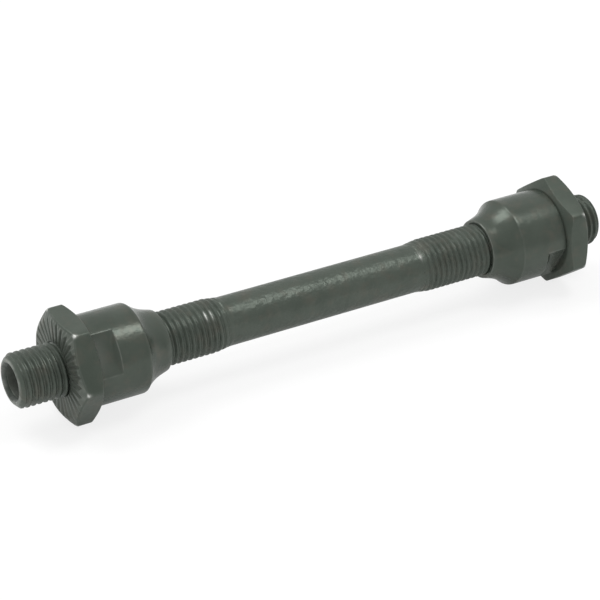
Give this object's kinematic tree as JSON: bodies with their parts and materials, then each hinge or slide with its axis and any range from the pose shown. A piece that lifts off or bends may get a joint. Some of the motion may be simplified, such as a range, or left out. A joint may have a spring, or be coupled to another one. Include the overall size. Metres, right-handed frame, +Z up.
{
  "type": "hub axle",
  "caption": "Hollow threaded bicycle hub axle with a bearing cone and a serrated hexagon locknut on each end, through-bored for a quick-release skewer.",
  "frame": {"origin": "on the axle's axis, half way along its length", "axes": "+X along the axle towards its right-hand end, +Z up as it lies, with the left locknut's flats level"},
  "size_m": [0.108, 0.0188, 0.0186],
  "materials": {
    "axle_steel": "black oxide, satin",
    "cone_steel": "black oxide, turned and ground satin",
    "locknut_steel": "black oxide, satin"
  },
  "bodies": {
    "axle": {"axle": "axle_steel"},
    "left_cone": {"left_cone": "cone_steel"},
    "right_cone": {"right_cone": "cone_steel"},
    "left_locknut": {"left_locknut": "locknut_steel"},
    "right_locknut": {"right_locknut": "locknut_steel"}
  },
  "joints": [
    {"name": "left_cone_screw", "type": "slide", "parent": "axle", "child": "left_cone", "axis": [1, 0, 0], "range_m": [0, 0.01]},
    {"name": "right_cone_screw", "type": "slide", "parent": "axle", "child": "right_cone", "axis": [-1, 0, 0], "range_m": [0, 0.012]},
    {"name": "left_locknut_screw", "type": "slide", "parent": "axle", "child": "left_locknut", "axis": [-1, 0, 0], "range_m": [0, 0.013]},
    {"name": "right_locknut_screw", "type": "slide", "parent": "axle", "child": "right_locknut", "axis": [1, 0, 0], "range_m": [0, 0.01]}
  ]
}
